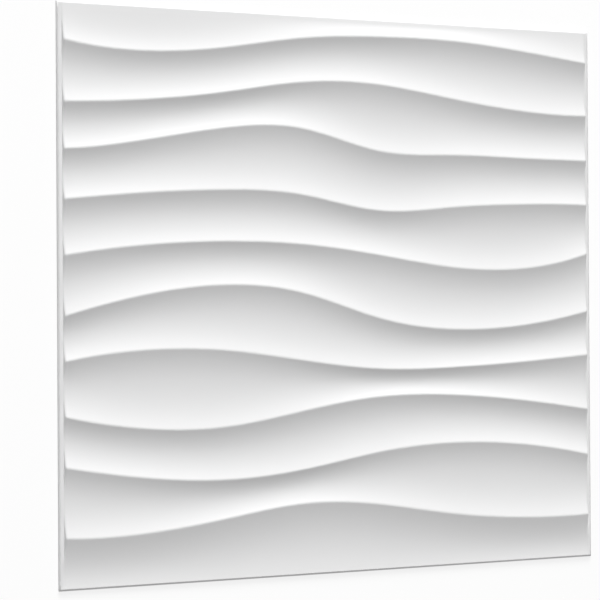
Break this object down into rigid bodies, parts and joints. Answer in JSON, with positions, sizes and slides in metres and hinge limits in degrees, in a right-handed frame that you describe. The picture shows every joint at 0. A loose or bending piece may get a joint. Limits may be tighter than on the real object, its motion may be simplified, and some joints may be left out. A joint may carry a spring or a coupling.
{
  "type": "3d wall panel tile",
  "caption": "Square moulded wall tile with ten wavy crest lines, concave scoops between them, a narrow flat rim with a rounded outer edge, and a flat back.",
  "frame": {"origin": "middle of the flat back, the face that is glued to the wall", "axes": "+X along the crest lines, +Y up the wall as in the picture, +Z out of the wall; the tile is stored lying on its back"},
  "size_m": [0.5, 0.5, 0.0072],
  "materials": {
    "white_face": "matt white, smooth as moulded"
  },
  "bodies": {
    "root": {"wave_panel": "white_face"}
  },
  "joints": []
}
